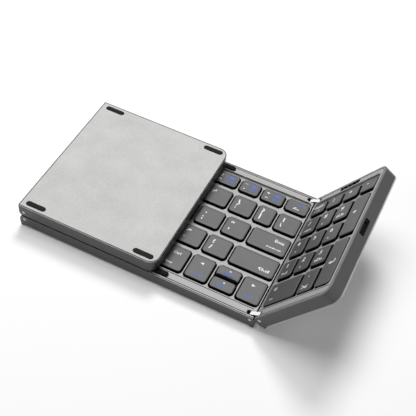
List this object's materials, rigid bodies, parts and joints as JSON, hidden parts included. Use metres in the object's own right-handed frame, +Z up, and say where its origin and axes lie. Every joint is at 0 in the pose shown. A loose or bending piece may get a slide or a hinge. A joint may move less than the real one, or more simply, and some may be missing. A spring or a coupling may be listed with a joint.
{
  "type": "folding keyboard",
  "caption": "Pocket keyboard that folds in three: a middle panel, a left flap folded over its keys and a narrow number panel half open on double-pin link hinges.",
  "frame": {"origin": "on the desk, under the middle of the box round the whole keyboard as it stands", "axes": "+X along the keyboard towards the number panel, +Y from the space bar towards the row of digits, +Z up"},
  "size_m": [0.1898, 0.099, 0.0585],
  "materials": {
    "casing": "matt, dark grey",
    "cover_plate": "fine blasted, anodised",
    "key_deck": "satin, anodised",
    "keys": "matt, dark grey",
    "link_plates": "brushed",
    "hinge_pins": "turned",
    "feet": "matt",
    "bumper_pads": "matt",
    "indicator_window": "gloss",
    "charging_socket": "satin",
    "circuit_board": "satin",
    "rubber_sheet": "matt",
    "battery": "satin foil"
  },
  "bodies": {
    "middle_panel": {"middle_casing": "casing", "middle_cover_plate": "cover_plate", "middle_key_deck": "key_deck", "middle_switch_board": "circuit_board", "middle_rubber_sheet": "rubber_sheet", "middle_feet": "feet", "middle_hinge_pins": "hinge_pins", "bumper_pads": "bumper_pads", "battery": "battery"},
    "left_links": {"left_link_front": "link_plates", "left_link_back": "link_plates"},
    "left_panel": {"left_casing": "casing", "left_cover_plate": "cover_plate", "left_key_deck": "key_deck", "left_switch_board": "circuit_board", "left_rubber_sheet": "rubber_sheet", "left_feet": "feet", "left_hinge_pins": "hinge_pins"},
    "right_links": {"right_link_front": "link_plates", "right_link_back": "link_plates"},
    "right_panel": {"right_casing": "casing", "right_cover_plate": "cover_plate", "right_key_deck": "key_deck", "right_switch_board": "circuit_board", "right_rubber_sheet": "rubber_sheet", "right_feet": "feet", "right_hinge_pins": "hinge_pins", "indicator_window": "indicator_window", "charging_socket": "charging_socket", "controller_board": "circuit_board"},
    "left_row1": {"left_row1_keys": "keys"},
    "left_row2": {"left_row2_keys": "keys"},
    "left_row3": {"left_row3_keys": "keys"},
    "left_row4": {"left_row4_keys": "keys"},
    "left_row5": {"left_row5_keys": "keys"},
    "left_space": {"left_space_key": "keys"},
    "middle_row1": {"middle_row1_keys": "keys"},
    "middle_row2": {"middle_row2_keys": "keys"},
    "middle_row3": {"middle_row3_keys": "keys"},
    "middle_row4": {"middle_row4_keys": "keys"},
    "middle_row5": {"middle_row5_keys": "keys"},
    "enter": {"enter_key": "keys"},
    "right_shift": {"right_shift_key": "keys"},
    "up_arrow": {"up_arrow_key": "keys"},
    "down_arrow": {"down_arrow_key": "keys"},
    "right_space": {"right_space_key": "keys"},
    "right_row1": {"right_row1_keys": "keys"},
    "right_row2": {"right_row2_keys": "keys"},
    "right_row3": {"right_row3_keys": "keys"},
    "right_row4": {"right_row4_keys": "keys"},
    "right_row5": {"right_row5_keys": "keys"},
    "number_plus": {"number_plus_key": "keys"},
    "number_enter": {"number_enter_key": "keys"},
    "number_zero": {"number_zero_key": "keys"}
  },
  "joints": [
    {"name": "left_link_fold", "type": "hinge", "parent": "middle_panel", "child": "left_links", "pos_m": [-0.09198, 0, 0.0062], "axis": [0, -1, 0], "range_deg": [0, 90]},
    {"name": "left_panel_fold", "type": "hinge", "parent": "left_links", "child": "left_panel", "pos_m": [-0.09198, 0, 0.0124], "axis": [0, -1, 0], "range_deg": [0, 90]},
    {"name": "right_link_fold", "type": "hinge", "parent": "middle_panel", "child": "right_links", "pos_m": [0.05222, 0, 0.0062], "axis": [0, -1, 0], "range_deg": [-28, 62]},
    {"name": "right_panel_fold", "type": "hinge", "parent": "right_links", "child": "right_panel", "pos_m": [0.05769, 0, 0.00911], "axis": [0, -1, 0], "range_deg": [-28, 62]},
    {"name": "left_row1_press", "type": "slide", "parent": "left_panel", "child": "left_row1", "axis": [0, 0, 1], "range_m": [0, 0.0012], "stiffness_N_per_m": 400, "springref_m": -0.0008},
    {"name": "left_row2_press", "type": "slide", "parent": "left_panel", "child": "left_row2", "axis": [0, 0, 1], "range_m": [0, 0.0012], "stiffness_N_per_m": 400, "springref_m": -0.0008},
    {"name": "left_row3_press", "type": "slide", "parent": "left_panel", "child": "left_row3", "axis": [0, 0, 1], "range_m": [0, 0.0012], "stiffness_N_per_m": 400, "springref_m": -0.0008},
    {"name": "left_row4_press", "type": "slide", "parent": "left_panel", "child": "left_row4", "axis": [0, 0, 1], "range_m": [0, 0.0012], "stiffness_N_per_m": 400, "springref_m": -0.0008},
    {"name": "left_row5_press", "type": "slide", "parent": "left_panel", "child": "left_row5", "axis": [0, 0, 1], "range_m": [0, 0.0012], "stiffness_N_per_m": 400, "springref_m": -0.0008},
    {"name": "left_space_press", "type": "slide", "parent": "left_panel", "child": "left_space", "axis": [0, 0, 1], "range_m": [0, 0.0012], "stiffness_N_per_m": 400, "springref_m": -0.0008},
    {"name": "middle_row1_press", "type": "slide", "parent": "middle_panel", "child": "middle_row1", "axis": [0, 0, -1], "range_m": [0, 0.0012], "stiffness_N_per_m": 400, "springref_m": -0.0008},
    {"name": "middle_row2_press", "type": "slide", "parent": "middle_panel", "child": "middle_row2", "axis": [0, 0, -1], "range_m": [0, 0.0012], "stiffness_N_per_m": 400, "springref_m": -0.0008},
    {"name": "middle_row3_press", "type": "slide", "parent": "middle_panel", "child": "middle_row3", "axis": [0, 0, -1], "range_m": [0, 0.0012], "stiffness_N_per_m": 400, "springref_m": -0.0008},
    {"name": "middle_row4_press", "type": "slide", "parent": "middle_panel", "child": "middle_row4", "axis": [0, 0, -1], "range_m": [0, 0.0012], "stiffness_N_per_m": 400, "springref_m": -0.0008},
    {"name": "middle_row5_press", "type": "slide", "parent": "middle_panel", "child": "middle_row5", "axis": [0, 0, -1], "range_m": [0, 0.0012], "stiffness_N_per_m": 400, "springref_m": -0.0008},
    {"name": "enter_press", "type": "slide", "parent": "middle_panel", "child": "enter", "axis": [0, 0, -1], "range_m": [0, 0.0012], "stiffness_N_per_m": 400, "springref_m": -0.0008},
    {"name": "right_shift_press", "type": "slide", "parent": "middle_panel", "child": "right_shift", "axis": [0, 0, -1], "range_m": [0, 0.0012], "stiffness_N_per_m": 400, "springref_m": -0.0008},
    {"name": "up_arrow_press", "type": "slide", "parent": "middle_panel", "child": "up_arrow", "axis": [0, 0, -1], "range_m": [0, 0.0012], "stiffness_N_per_m": 400, "springref_m": -0.0008},
    {"name": "down_arrow_press", "type": "slide", "parent": "middle_panel", "child": "down_arrow", "axis": [0, 0, -1], "range_m": [0, 0.0012], "stiffness_N_per_m": 400, "springref_m": -0.0008},
    {"name": "right_space_press", "type": "slide", "parent": "middle_panel", "child": "right_space", "axis": [0, 0, -1], "range_m": [0, 0.0012], "stiffness_N_per_m": 400, "springref_m": -0.0008},
    {"name": "right_row1_press", "type": "slide", "parent": "right_panel", "child": "right_row1", "axis": [0.829, 0, -0.5592], "range_m": [0, 0.0012], "stiffness_N_per_m": 400, "springref_m": -0.0008},
    {"name": "right_row2_press", "type": "slide", "parent": "right_panel", "child": "right_row2", "axis": [0.829, 0, -0.5592], "range_m": [0, 0.0012], "stiffness_N_per_m": 400, "springref_m": -0.0008},
    {"name": "right_row3_press", "type": "slide", "parent": "right_panel", "child": "right_row3", "axis": [0.829, 0, -0.5592], "range_m": [0, 0.0012], "stiffness_N_per_m": 400, "springref_m": -0.0008},
    {"name": "right_row4_press", "type": "slide", "parent": "right_panel", "child": "right_row4", "axis": [0.829, 0, -0.5592], "range_m": [0, 0.0012], "stiffness_N_per_m": 400, "springref_m": -0.0008},
    {"name": "right_row5_press", "type": "slide", "parent": "right_panel", "child": "right_row5", "axis": [0.829, 0, -0.5592], "range_m": [0, 0.0012], "stiffness_N_per_m": 400, "springref_m": -0.0008},
    {"name": "number_plus_press", "type": "slide", "parent": "right_panel", "child": "number_plus", "axis": [0.829, 0, -0.5592], "range_m": [0, 0.0012], "stiffness_N_per_m": 400, "springref_m": -0.0008},
    {"name": "number_enter_press", "type": "slide", "parent": "right_panel", "child": "number_enter", "axis": [0.829, 0, -0.5592], "range_m": [0, 0.0012], "stiffness_N_per_m": 400, "springref_m": -0.0008},
    {"name": "number_zero_press", "type": "slide", "parent": "right_panel", "child": "number_zero", "axis": [0.829, 0, -0.5592], "range_m": [0, 0.0012], "stiffness_N_per_m": 400, "springref_m": -0.0008}
  ]
}
